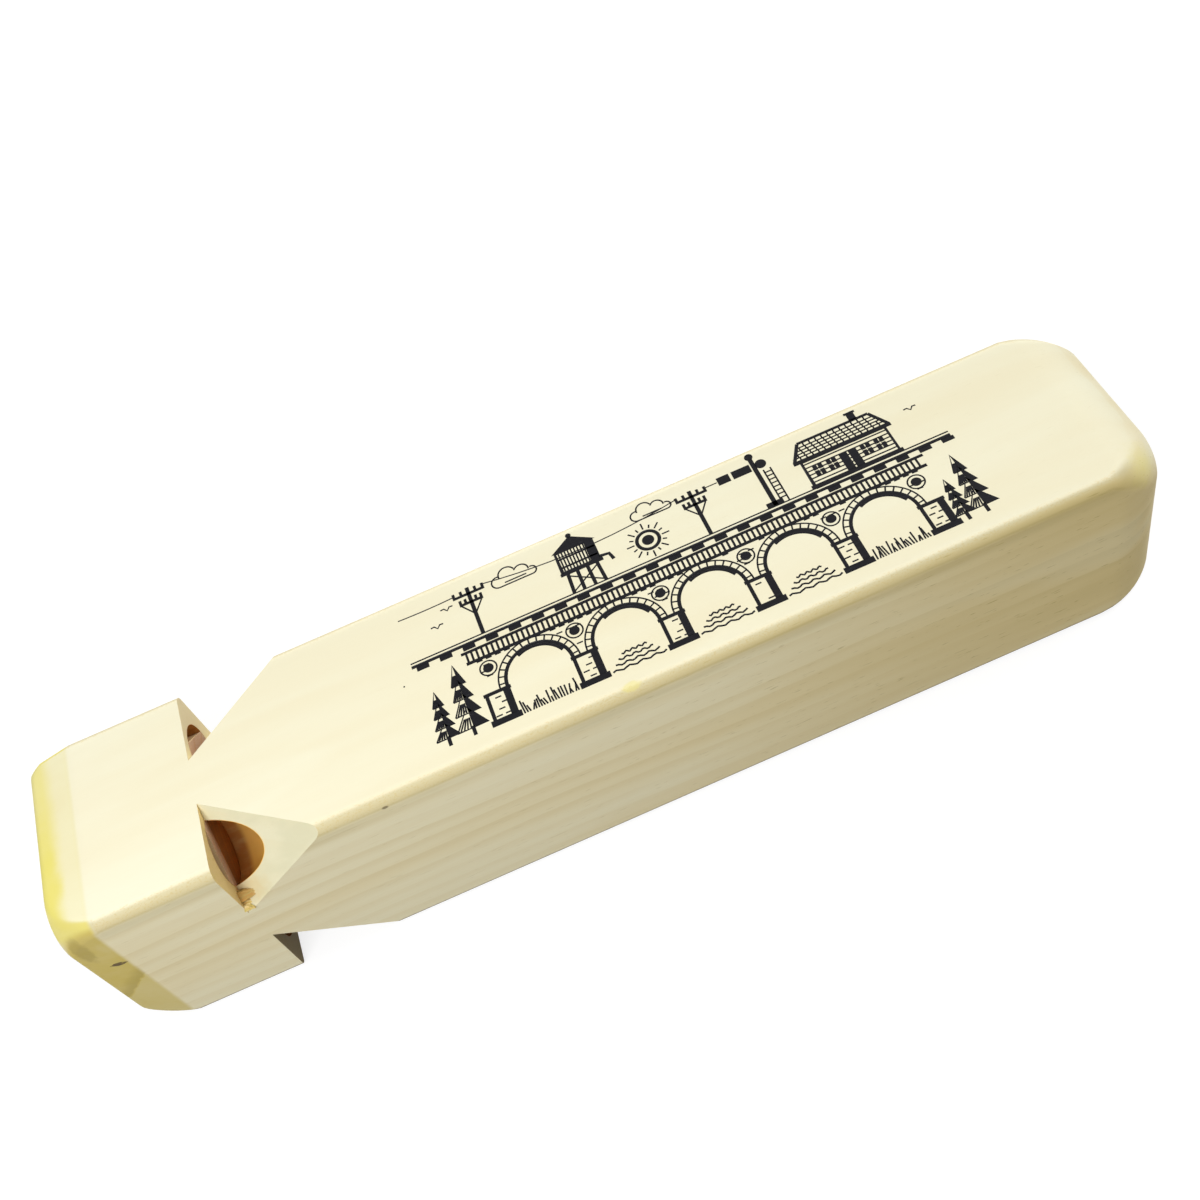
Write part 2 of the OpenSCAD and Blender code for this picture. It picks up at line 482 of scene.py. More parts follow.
def pine_wood(g, wood, rings, figure, fibres, pores):
    """Sanded wood that shows more grain on its sides, with painted shade that darkens and yellows the front
    towards the stopped end
    """
    x = g.xyz[0]
    flat_sawn = g.step(g.upward, 0.6, 0.95)
    side_face = g.step(g.across, 0.6, 0.95)

    def by_face(on_sides, on_top):
        return g.step(flat_sawn, 0.0, 1.0, on_sides, on_top)

    g.colour = g.tint(wood.early, wood.late, rings, by_face(0.40, 0.16))
    g.lay(wood.late, g.step(figure, 0.36, 0.70), by_face(0.42, 0.20))
    g.lay(wood.late, fibres, by_face(0.30, 0.10))
    g.lay(wood.late, side_face, 0.18)
    g.lay(wood.heart_brown, side_face, rings, 0.12)
    # Painted shade: the front face turns darker and yellower towards the stopped end, as less light reaches
    # it
    front_falloff_shade = g.both(g.fall(g.facing[1], -0.9, -0.4), g.step(x, -5.0, 77.0))
    g.lay(wood.late, front_falloff_shade, 0.85)
    g.lay(wood.taper_brown, front_falloff_shade, 0.20)
    streak = g.either(g.step(figure, 0.42, 0.62), g.both(rings, 1.2))
    g.lay(wood.heart_brown, front_falloff_shade, streak, 0.16)
    g.lay(wood.early, front_falloff_shade, g.step(figure, 0.34, 0.46, 0.22, 0.0))
    g.lay(wood.heart_brown, pores, by_face(0.55, 0.08), g.step(x, -40.0, 60.0, 0.30, 1.0))


def pine_edges(g, wood, ramp):
    """Speckled long edges with painted shade on their roundings, a painted shade band under the front one and
    painted shade along the lower ones
    """
    rubbed = g.both(g.step(g.across, 0.10, 0.35), g.step(g.upward, 0.10, 0.35), g.fall(g.along, 0.10, 0.25))
    speckle = g.step(g.grain((3.4, 5.0, 5.0), 2, 0.6), 0.50, 0.66, 0.14, 0.59)
    g.lay(wood.late, rubbed, speckle)
    # Painted shade on the roundings of the long edges, where they turn away from the light
    edge_roundings_shade = g.both(g.step(g.across, 0.25, 0.55), g.step(g.upward, 0.05, 0.30), g.fall(g.along, 0.40, 0.65))
    g.lay(wood.heart_brown, edge_roundings_shade, g.calc("SUBTRACT", 1.0, ramp), 0.42)
    # Painted shade: a darker band on the front face just under its rounded top edge
    under = g.both(g.fall(g.facing[1], -0.98, -0.90), g.step(g.xyz[2], TOP_Z - 4.3, TOP_Z - 2.3))
    patches = g.step(g.grain((0.05, 0.5, 0.5), 2), 0.35, 0.60, 0.10, 0.25)
    g.lay(wood.heart_brown, under, patches)
    # Painted shade along the lower long edges, which face the floor
    low = g.both(g.step(g.across, 0.15, 0.40), g.fall(g.facing[2], -0.25, -0.02), g.fall(g.along, 0.10, 0.30))
    g.lay(wood.bark, low, 0.72)


def front_taper_marks(g, wood, on_front):
    """Pale wood, brown ring and olive wedge on the front taper"""
    x, _, z = g.xyz
    ripple = g.calc("MULTIPLY_ADD", g.grain((0.8, 0.8, 0.8), 2), 0.9, -0.45)
    from_ring = g.calc("ADD", g.off_line(x, z, RING_START, RING_END), ripple)
    pale = g.mix(0.5, wood.taper_brown, wood.early)
    g.lay(pale, on_front, g.fall(from_ring, -0.15, 0.0), 0.30)
    ring = g.both(on_front, g.step(from_ring, 0.0, 0.25), g.fall(from_ring, 0.5, 2.4))
    g.lay(wood.heart_brown, ring, 0.55)
    wedge = g.blot((-75.2, -14.1, 24.8), (1.5, 3.0, 4.2))
    g.lay(wood.heart_brown, on_front, wedge, 0.62)
    paler = g.blot((-72.4, -14.7, 24.6), (1.5, 3.0, 2.2), 0.2)
    g.lay(wood.early, on_front, paler, 0.08)


def mouth_end(g, wood, taper_x):
    """Yellow strip and hips and brown side tapers of the mouth end"""
    x, y, _ = g.xyz
    blotch = g.calc("SUBTRACT", g.grain((0.12, 0.22, 0.22), 3, 0.55), 0.5)
    near_mouth = g.fall(x, taper_x - 0.75, taper_x + 0.15)
    on_face = g.both(near_mouth, g.step(g.upward, 0.55, 0.85))
    on_side = g.both(near_mouth, g.step(g.across, 0.60, 0.85))
    on_hip = g.both(near_mouth, g.step(g.across, 0.25, 0.45), g.step(g.upward, 0.25, 0.50))
    on_front = g.both(on_side, g.fall(g.facing[1], -0.5, -0.3))
    g.lay(wood.resin, on_face, 0.22)
    g.lay(wood.resin, on_face, g.step(x, taper_x - 0.9, taper_x - 0.2), 0.16)
    ragged_x = g.calc("MULTIPLY_ADD", blotch, 1.6, x)
    strip = g.both(on_face, g.fall(ragged_x, taper_x - 4.6, taper_x - 2.2), g.step(y, -4.0, 12.0, 1.0, 0.68))
    g.lay(wood.resin, strip, g.step(blotch, -0.22, 0.16, 0.84, 1.0))
    g.lay(wood.resin, on_hip, g.step(blotch, -0.25, 0.25, 0.75, 1.0))
    g.lay(wood.taper_brown, on_hip, 0.16)
    g.lay(wood.taper_brown, on_side, g.step(blotch, -0.3, 0.3, 0.80, 1.0))
    front_taper_marks(g, wood, on_front)


def notches(g, wood, ramp):
    """Sawn stop faces and ramps of the voicing notches, stained around the torn corner, with painted light on
    the back stop faces and painted shade on the lower ones
    """
    x, y, z = g.xyz
    at_stop = g.both(g.step(x, STOP_X - 0.5, STOP_X - 0.3), g.fall(x, STOP_X + 0.3, STOP_X + 0.5))
    stop = g.both(at_stop, g.step(g.facing[0], 0.90, 0.97))
    kerfs = g.grain((1.0, 1.3, 1.3), 3, 0.6)
    sawn = g.tint(wood.stop_tan, wood.taper_brown, g.step(kerfs, 0.50, 0.75, 0.0, 0.45))
    # Painted light: the stop faces of the back notches are paler
    sawn = g.tint(sawn, wood.early, g.step(y, -1.0, 1.0, 0.0, 0.40))
    # Painted shade: the stop faces of the bottom notches are darker
    sawn = g.tint(sawn, wood.bark, g.step(z, MID_Z - 1.0, MID_Z + 1.0, 0.70, 0.0))
    g.lay(sawn, stop)
    burnt = g.blot((STOP_X, FRONT_Y + 2.6, TORN_Z), (1.0, 1.6, 1.6))
    g.lay(wood.bore_brown, stop, burnt, 0.5)
    stain = g.blot((STOP_X + 2.2, FRONT_Y + 2.2, TORN_Z), (3.4, 2.4, 2.6))
    g.lay(wood.bore_brown, stain, 0.40)
    streaks = g.step(g.grain((0.04, 0.40, 0.40), 2), 0.35, 0.65, 0.55, 0.85)
    g.lay(wood.ramp_pale, ramp, streaks)
    foot = g.blot((STOP_X + 3.0, FRONT_Y + 2.0, TORN_Z + 0.6), (4.0, 3.4, 3.4), 0.0)
    g.lay(wood.stop_tan, ramp, foot, 0.55)


def bores(g, wood, radius):
    """Scorched walls of the four pipes, with painted light on them under the ramps, up to their end faces"""
    x, y, z = g.xyz
    walls = []
    for side_y, side_z, end in PIPES:
        from_y = g.calc("SUBTRACT", y, side_y * BORE_Y)
        from_z = g.calc("SUBTRACT", z, MID_Z + side_z * BORE_Z)
        inside = g.fall(g.hypot(from_y, from_z), radius + 0.01, radius + 0.08)
        walls.append(g.both(inside, g.fall(x, end + 0.1, end + 0.3), g.step(x, MOUTH_X + 0.3, MOUTH_X + 0.6)))
    scorch = g.grain((0.30, 0.8, 0.8), 3, 0.6)
    wall = g.tint(wood.bore_brown, wood.end_grain, g.step(scorch, 0.40, 0.80, 0.0, 0.35))
    # Painted light: the walls under the ramps, where light comes in through the notches, are paler
    wall = g.tint(wall, wood.bore_lit, g.step(x, STOP_X + 1.3, STOP_X + 2.2), 0.85)
    g.lay(wall, g.either(*walls))


def pine_material(wood, sizes):
    """Sanded pine with drilled pipes, notches and a sanded, yellowed mouth end, with painted light and shade
    in places
    """
    g = Surface("pine")
    rings, figure, fibres, pores = g.wood(PINE_PITH, wood.ring_spacing / MM)
    slanted = g.both(g.step(g.facing[0], -0.55, -0.48), g.fall(g.facing[0], -0.42, -0.35))
    ramp = g.both(slanted, g.step(g.xyz[0], STOP_X, STOP_X + 0.2))
    pine_wood(g, wood, rings, figure, fibres, pores)
    pine_edges(g, wood, ramp)
    specks = g.step(g.grain((2.2, 2.2, 2.2), 3, 0.6), 0.25, 0.7, 0.40, 0.80)
    g.lay(wood.end_grain, g.step(g.along, 0.80, 0.97), specks)
    mouth_end(g, wood, MOUTH_X + sizes.taper_length)
    notches(g, wood, ramp)
    for centre, radii, core, name, strength in SPOTS:
        g.lay(getattr(wood, name), g.blot(centre, radii, core), strength)
    bores(g, wood, sizes.bore_radius)
    height = g.calc("MULTIPLY_ADD", fibres, 0.6, g.both(rings, 0.4))
    return g.finish(g.step(fibres, 0.2, 0.8, 0.55, 0.75), (height, 0.25, 0.06 * MM), specular=0.25)


def plug_material(wood):
    """Dowel cut across its fibres, with its own rings"""
    g = Surface("dowel")
    rings, figure, fibres, pores = g.wood(PLUG_PITH, PLUG_RING_SPACING)
    x, y, z = g.xyz
    outward = g.calc("ADD", g.calc("ABSOLUTE", y), g.calc("ABSOLUTE", g.calc("SUBTRACT", z, MID_Z)))
    edge = g.step(g.calc("MULTIPLY_ADD", figure, 1.2, outward), 17.9, 18.7)
    g.colour = g.tint(wood.plug_brown, wood.plug_pink, edge)
    g.lay(wood.bore_brown, rings, 0.35)
    g.lay(wood.bore_brown, g.step(fibres, 0.4, 0.7, 0.0, 0.35))
    g.lay(wood.end_grain, g.fall(g.along, 0.3, 0.7), 0.5)
    g.lay(wood.end_grain, g.fall(x, MOUTH_X + 2.0, MOUTH_X + 4.0), 0.6)
    height = g.calc("ADD", fibres, pores)
    return g.finish(g.step(fibres, 0.2, 0.8, 0.6, 0.85), (height, 0.4, 0.08 * MM), specular=0.25)


# Softened block

# Sections of the block, as distances from the mouth face and from the stopped end
MOUTH_STATIONS = (0.0, 0.08, 0.25, 0.5, 0.9, 1.5, 2.2, 2.9, 3.6, 4.3, 5.0, 5.6, 6.0, 6.6)
END_STATIONS = (9.0, 7.3, 6.5, 5.7, 4.9, 4.1, 3.3, 2.6, 1.9, 1.3, 0.8, 0.4, 0.15, 0.0)
LIP_LENGTH, LIP_DEPTH, LIP_CROWN = 0.9, 0.3, 0.1
HIP_RUNOUT, HIP_CROWN_FRONT, HIP_CROWN_BACK = 0.6, 0.45, 0.7
ROUND_CROWN, CORNER_CROWN, CORNER_RUNOUT = 0.8, 0.9, 1.5
ARC_STEPS, BORE_STEPS = 10, 96
CUT_MARGIN = 2.0
NEAR, CORNER_SHARE = 0.01 * MM, 0.99
SMOOTH_ANGLE = math.radians(22)
NORMAL_WEIGHT = 80

# Corners of a section: two faces, the hip at the mouth and its crown, and the corner at the stopped end
CORNERS = (
    ("front", "top", "hip_front_top", HIP_CROWN_FRONT, "corner_front_top"),
    ("front", "bottom", "hip_front_bottom", HIP_CROWN_FRONT, "corner_other"),
    ("back", "top", "hip_back", HIP_CROWN_BACK, "corner_other"),
    ("back", "bottom", "hip_back", HIP_CROWN_BACK, "corner_other"))


def arc_height(x, side, end, crown):
    """Distance from the axis of an arc that bulges outwards between two points, at X"""
    side, end = Vector(side), Vector(end)
    way = end - side
    chord = way.length
    radius = chord * chord / (8 * crown) + crown / 2
    inward = Vector((way.y, -way.x)) * math.copysign(1.0, way.x) / chord
    centre = (side + end) / 2 + inward * (radius - crown)
    return centre.y + math.sqrt(max(0.0, radius * radius - (x - centre.x) ** 2))


def side_height(x, sizes, taper_depth, round_depth):
    """Distance of one long face from the axis, at X"""
    slope = taper_depth / sizes.taper_length
    height = min(HALF_SIDE, HALF_SIDE - (MOUTH_X + sizes.taper_length - x) * slope)
    if x < MOUTH_X + LIP_LENGTH:
        lip = (MOUTH_X + LIP_LENGTH, HALF_SIDE - taper_depth + LIP_LENGTH * slope)
        height = min(height, arc_height(x, lip, (MOUTH_X, HALF_SIDE - taper_depth - LIP_DEPTH), LIP_CROWN))
    round_x = END_X - sizes.round_length
    if x > round_x:
        crown = ROUND_CROWN * round_depth / sizes.round_depth
        height = min(height, arc_height(x, (round_x, HALF_SIDE), (END_X, HALF_SIDE - round_depth), crown))
    return height


def side_heights(x, sizes):
    """Distances of the four long faces from the axis, at X"""
    return {
        "front": side_height(x, sizes, sizes.taper_front, sizes.round_depth),
        "back": side_height(x, sizes, sizes.taper_other, sizes.round_depth),
        "top": side_height(x, sizes, sizes.taper_other, sizes.round_depth),
        "bottom": side_height(x, sizes, sizes.taper_other, sizes.round_depth_bottom),
    }


def corner_radius(x, sizes, faces, hip, hip_crown, eased):
    """Radius of the section's corner between two long faces, at X"""
    def corner(at):
        heights = side_heights(at, sizes)
        return math.hypot(*(heights[face] for face in faces))

    radius = sizes.edge_radius_bottom if "bottom" in faces else sizes.edge_radius
    edge = (HALF_SIDE - radius) * math.sqrt(2) + radius
    hip_x = MOUTH_X + sizes.taper_length + HIP_RUNOUT
    corner_x = END_X - sizes.round_length - CORNER_RUNOUT
    if x < hip_x:
        sanded = arc_height(x, (hip_x, edge), (MOUTH_X, corner(MOUTH_X) - hip), hip_crown)
    elif x > corner_x:
        sanded = arc_height(x, (corner_x, edge), (END_X, corner(END_X) - eased), CORNER_CROWN)
    else:
        return radius
    return max(radius, (corner(x) - sanded) / (math.sqrt(2) - 1))


def add_ring(blank, x, sizes):
    """Adds one section of the block, lying flat at the height of its X, in edit mode"""
    sides = side_heights(x, sizes)
    bpy.ops.mesh.select_all(action="DESELECT")
    bpy.ops.mesh.primitive_plane_add(size=MM, location=(0, 0, x * MM))
    front, back, top, bottom = (sides[face] for face in ("front", "back", "top", "bottom"))
    scale(front + back, bottom + top, 1, (0, 0, x * MM))
    move((back - front) / 2 * MM, (top - bottom) / 2 * MM, 0)
    for face_y, face_z, hip, hip_crown, eased in CORNERS:
        side_y = 1 if face_y == "back" else -1
        side_z = 1 if face_z == "top" else -1
        select_points(blank, lambda place: (
            abs(place.z - x * MM) < NEAR and place.x * side_y > sides[face_y] * MM * CORNER_SHARE
            and place.y * side_z > sides[face_z] * MM * CORNER_SHARE))
        sanding = getattr(sizes, hip), hip_crown, getattr(sizes, eased)
        radius = corner_radius(x, sizes, (face_y, face_z), *sanding)
        bpy.ops.mesh.bevel(
            offset_type="OFFSET", offset=radius * MM, segments=ARC_STEPS, profile=0.5, affect="VERTICES",
            clamp_overlap=False)


def make_blank(sizes):
    """Sanded block before it is drilled and notched"""
    deselect()
    bpy.ops.mesh.primitive_plane_add(size=MM)
    with editing() as blank:
        bpy.ops.mesh.delete(type="VERT")
        for x in [MOUTH_X + step for step in MOUTH_STATIONS] + [END_X - step for step in END_STATIONS]:
            add_ring(blank, x, sizes)
        select_all()
        bpy.ops.mesh.delete(type="ONLY_FACE")
        select_all()
        bpy.ops.mesh.bridge_edge_loops(type="SINGLE")
        select_all()
        bpy.ops.mesh.fill_holes(sides=0)
        face_outwards()
    upright_to_x = Matrix(((0, 0, 1), (1, 0, 0), (0, 1, 0))).to_4x4()
    blank.matrix_world = Matrix.Translation((0, 0, MID_Z * MM)) @ upright_to_x
    apply_place()
    return blank


def make_bore(side_y, side_z, end, radius):
    """Drill that cuts one pipe"""
    start = MOUTH_X - CUT_MARGIN
    deselect()
    bpy.ops.mesh.primitive_cylinder_add(
        vertices=BORE_STEPS, radius=radius * MM, depth=(end - start) * MM, rotation=(0, math.pi / 2, 0),
        location=((start + end) / 2 * MM, side_y * BORE_Y * MM, (MID_Z + side_z * BORE_Z) * MM))
    apply_place()
    return bpy.context.object


def make_notch(side_y, side_z, reach, ramp_length):
    """Wedge that cuts one voicing notch"""
    depth = reach / math.sqrt(2)
    height = depth + CUT_MARGIN
    with editing_wedge(ramp_length * height / depth, 4 * HALF_SIDE, height, 1) as wedge:
        select_all()
        bpy.ops.mesh.remove_doubles(threshold=NEAR)
        bpy.ops.mesh.normals_make_consistent(inside=False)
    outward = Vector((0, side_y, side_z)).normalized()
    root = HALF_SIDE * math.sqrt(2) - depth
    put_down(wedge, "notch_cut", Vector((STOP_X, 0, MID_Z)) + outward * root, (1, 0, 0), outward)
    return wedge


def cut_out(piece, cutter):
    """Takes one shape out of a piece"""
    deselect()
    piece.select_set(True)
    bpy.context.view_layer.objects.active = piece
    cut = piece.modifiers.new("cut", "BOOLEAN")
    cut.operation = "DIFFERENCE"
    cut.solver = "EXACT"
    cut.object = cutter
    bpy.ops.object.modifier_apply(modifier=cut.name)
    bpy.data.objects.remove(cutter)


class WHISTLE_OT_block(bpy.types.Operator):
    """Adds the sanded, drilled and notched block in its pine"""
    bl_idname = "whistle.block"
    bl_label = "Pine block"

    def execute(self, context):
        sizes = in_millimetres(context.scene.whistle_block)
        block = make_blank(sizes)
        for side_y, side_z, end in PIPES:
            cut_out(block, make_bore(side_y, side_z, end, sizes.bore_radius))
            reach = sizes.notch_back if side_y > 0 else sizes.notch_front
            cut_out(block, make_notch(side_y, side_z, reach, sizes.ramp_length))
        block.name = block.data.name = "pine_block"
        bpy.ops.object.shade_smooth_by_angle(angle=SMOOTH_ANGLE)
        even = block.modifiers.new("even", "WEIGHTED_NORMAL")
        even.keep_sharp = True
        even.weight = NORMAL_WEIGHT
        bpy.ops.object.modifier_apply(modifier=even.name)
        hand_over(block, pine_material(context.scene.whistle_wood, sizes))
        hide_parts("whistle_body")
        return {"FINISHED"}


class WHISTLE_OT_plugs(bpy.types.Operator):
    """Gives the glued plugs their end grain"""
    bl_idname = "whistle.plugs"
    bl_label = "Plugs"

    def execute(self, context):
        material = plug_material(context.scene.whistle_wood)
        for name in PLUGS:
            wear(frame["nodes"][name], material)
        return {"FINISHED"}


# Torn wood and bark

CHIP_LENGTH, CHIP_WIDTH, CHIP_HEIGHT = 1.5, 1.9, 0.95
CHIP_DOWN, CHIP_BACK, CHIP_LIFT = 10.25, 0.15, 0.85
CHIP_CUTS, SLIVER_CUTS = 7, 4
CHIP_SEED, BARK_SEED = 5, 3
TORN_ROUGHNESS, BARK_ROUGHNESS = 0.10, 0.05

# Slivers of torn wood: how far down the notch each lies, its length and its width
SLIVERS = ((9.40, 4.2, 1.30), (9.05, 2.4, 0.60), (10.20, 2.2, 0.95))
SLIVER_HEIGHT, SLIVER_BACK, SLIVER_LIFT = 0.30, 0.3, 0.14
SLIVER_THINNING = ((-0.1, 0.80), (0.05, 0.70), (0.22, 0.60), (0.38, 0.40))

BARK_START, BARK_END = Vector((-74.45, -14.25, 19.18)), Vector((-71.46, -14.95, 19.68))
BARK_WIDTH, BARK_HEIGHT, BARK_STEPS = 0.95, 0.10, 28
BARK_SHARES, BARK_NARROWING, BARK_TOP = (0.22, 0.36, 0.45), 0.62, (0.86, 0.72, 1)
BARK_SUNK = Vector((0.01, 0.05, 0))
TAPER_OUTWARD = (-0.233, -1, 0)


def torn_material(wood):
    """Ragged fibres, brown at the root and paler at their tips"""
    g = Surface("torn_wood")
    x, _, z = g.xyz
    strands = g.grain((0.8, 5.0, 5.0), 3, 0.65)
    tan = g.tint(wood.stop_tan, wood.taper_brown, g.step(strands, 0.35, 0.65))
    brown = g.tint(wood.heart_brown, wood.bore_brown, g.step(strands, 0.35, 0.65, 0.20, 0.60))
    brown = g.tint(brown, wood.stop_tan, g.step(x, STOP_X + 1.4, STOP_X + 3.0, 0.0, 0.60))
    ragged_z = g.calc("MULTIPLY_ADD", strands, 0.8, z)
    g.colour = g.tint(tan, brown, g.step(ragged_z, 20.5, 20.9))
    g.lay(wood.heart_brown, g.step(ragged_z, 19.7, 20.2, 0.60, 0.0))
    return g.finish(g.step(strands, 0.2, 0.8, 0.65, 0.9), (strands, 0.5, 0.08 * MM))


def bark_material(wood):
    """Dark bark that was left in the sanded taper"""
    g = Surface("bark")
    flakes = g.grain((1.6, 3.0, 3.0), 3, 0.65)
    g.colour = g.tint(wood.bark, wood.heart_brown, g.step(flakes, 0.45, 0.75))
    return g.finish(g.step(flakes, 0.2, 0.8, 0.7, 0.95))


def make_chip():
    """Wedge of torn wood that fills the foot of a notch, slanted where it meets the front face"""
    length, width, height = (size * MM for size in (CHIP_LENGTH, CHIP_WIDTH, CHIP_HEIGHT))
    with editing_wedge(CHIP_LENGTH, CHIP_WIDTH, CHIP_HEIGHT, CHIP_LIFT) as chip:
        select_points(chip, lambda place: place.y > 0 and place.z > height / 2)
        move(0, -0.9 * height, 0)
        select_points(chip, lambda place: place.y > -0.3 * width and place.x > length / 2)
        move(0, -0.5 * width, 0)
        select_all()
        bpy.ops.mesh.subdivide(number_cuts=CHIP_CUTS)
        bpy.ops.transform.vertex_random(offset=TORN_ROUGHNESS * MM, seed=CHIP_SEED)
    return chip


def make_sliver(length, width, seed):
    """Splinter along X that thins to a ragged tip"""
    deselect()
    bpy.ops.mesh.primitive_cube_add(size=MM)
    with editing() as sliver:
        scale(length, width, SLIVER_HEIGHT)
        bpy.ops.mesh.subdivide(number_cuts=SLIVER_CUTS)
        for share, left in SLIVER_THINNING:
            select_points(sliver, lambda place: place.x > share * length * MM)
            scale(1, left, left, (0, 0, -SLIVER_HEIGHT / 4 * MM))
        select_all()
        bpy.ops.transform.vertex_random(offset=TORN_ROUGHNESS * MM, seed=seed)
    return sliver


def make_bark(length):
    """Leaf of bark with a raised middle, its rim sunk into the wood"""
    deselect()
    bpy.ops.mesh.primitive_circle_add(vertices=BARK_STEPS, radius=MM / 2, fill_type="NGON")
    with editing() as leaf:
        scale(length, BARK_WIDTH, 1)
        for share in BARK_SHARES:
            select_points(leaf, lambda place: abs(place.x) > share * length * MM)
            scale(1, BARK_NARROWING, 1)
        select_all()
        bpy.ops.transform.vertex_random(offset=BARK_ROUGHNESS * MM, seed=BARK_SEED)
        scale(1, 1, 0)
        select_all()
        bpy.ops.mesh.extrude_region_move(TRANSFORM_OT_translate={"value": (0, 0, BARK_HEIGHT * MM)})
        scale(*BARK_TOP)
        face_outwards()
    return leaf


def make_torn_fibres(reach, ramp_length):
    """Chip and slivers in the foot of the top front notch, as one piece"""
    outward = Vector((0, -1, 1)).normalized()
    root = Vector((STOP_X, FRONT_Y + reach, TOP_Z))
    rise = outward * reach / math.sqrt(2) / ramp_length
    chip = make_chip()
    put_down(chip, "torn_fibres", root + Vector((-CHIP_BACK, -CHIP_DOWN, -CHIP_DOWN)), (1, 0, 0), outward)
    torn = [chip]
    for seed, (down, length, width) in enumerate(SLIVERS):
        sliver = make_sliver(length, width, seed)
        middle_x = length / 2 - SLIVER_BACK
        middle = root + Vector((middle_x, -down, -down)) + rise * middle_x + outward * SLIVER_LIFT
        put_down(sliver, "sliver", middle, Vector((1, 0, 0)) + rise, outward)
        torn.append(sliver)
    for piece in torn:
        piece.select_set(True)
    bpy.context.view_layer.objects.active = chip
    bpy.ops.object.join()
    return chip


class WHISTLE_OT_marks(bpy.types.Operator):
    """Adds the torn fibres of the front notch and the sliver of bark in the front taper"""
    bl_idname = "whistle.marks"
    bl_label = "Torn fibres and bark"

    def execute(self, context):
        wood = context.scene.whistle_wood
        sizes = in_millimetres(context.scene.whistle_block)
        hand_over(make_torn_fibres(sizes.notch_front, sizes.ramp_length), torn_material(wood))
        way = BARK_END - BARK_START
        leaf = make_bark(way.length)
        put_down(leaf, "bark_sliver", (BARK_START + BARK_END) / 2 + BARK_SUNK, way, TAPER_OUTWARD)
        hand_over(leaf, bark_material(wood))
        return {"FINISHED"}


# Printed picture

PIER_FIRST, PIER_PITCH, PIER_COUNT, PIER_HALF = 9.5, 12.2, 6, 1.5
SPRING_V, DECK_LOW, DECK_HIGH = 5.2, 11.0, 12.6
ARCH_RADIUS = PIER_PITCH / 2 - PIER_HALF
ARCH_STONE = 1.0
BRICK_LENGTH, BRICK_PITCH, BRICK_SPARE, BRICK_SHARE = 0.85, 1.3, 0.2, 0.80
COURSE_FIRST, COURSE_HEIGHT, COURSE_COUNT = 1.35, 0.92, 11
ROUNDEL_V, BALUSTER_PITCH = 9.0, 0.72
RAIL_V = DECK_HIGH + 1.4
RAIL_LENGTH, SLEEPER_PITCH, SLEEPER_LENGTH, SLEEPER_COUNT = 78.0, 3.3, 1.75, 24
GROUND_V = RAIL_V + 0.7
PINES = ((1.7, 8.4), (5.1, 11.0), (73.6, 7.2), (76.2, 10.2))
CLOUDS = ((17.0, 21.6, 1.05), (37.6, 22.6, 0.95))
CLOUD_BOWS = (
    (-2.1, 0.0, 0.9, 70, 270), (-0.7, 0.75, 1.15, 20, 190), (1.2, 0.35, 1.0, -10, 150),
    (2.5, -0.25, 0.65, -90, 100))
SUN, SUN_RAYS = (35.6, 18.0), 16
BIRDS = ((5.0, 18.4), (7.0, 20.6), (75.6, 20.6))
BIRD = ((-0.9, 0.45), (-0.4, 0.5), (0, 0), (0.4, 0.5), (0.9, 0.45))
STRAY_DOT = (-1.7, 11.65)
TOWER_U, SHED_U, SIGNAL_U, POLES_U = 26.0, 65.0, 53.0, (10.5, 43.5)
ARM_HALF = 2.3
POLE_ARMS = ((21.9, ARM_HALF), (20.4, 1.7))
WIRE_SAG = 0.0016


def ink_material(ink):
    """Black ink that has sunk a little into the fibres"""
    g = Surface("print_ink")
    fibres = g.grain((0.9, 7.0, 7.0), 2, 0.6)
    faded = tuple(min(1.0, 2.0 * part + 0.010) for part in ink)
    g.colour = g.tint(ink, faded, g.step(fibres, 0.55, 0.75))
    return g.finish(g.step(fibres, 0.3, 0.7, 0.45, 0.65), specular=0.15)


def turned(turn):
    """Direction at an angle in radians"""
    return Vector((math.cos(turn), math.sin(turn)))


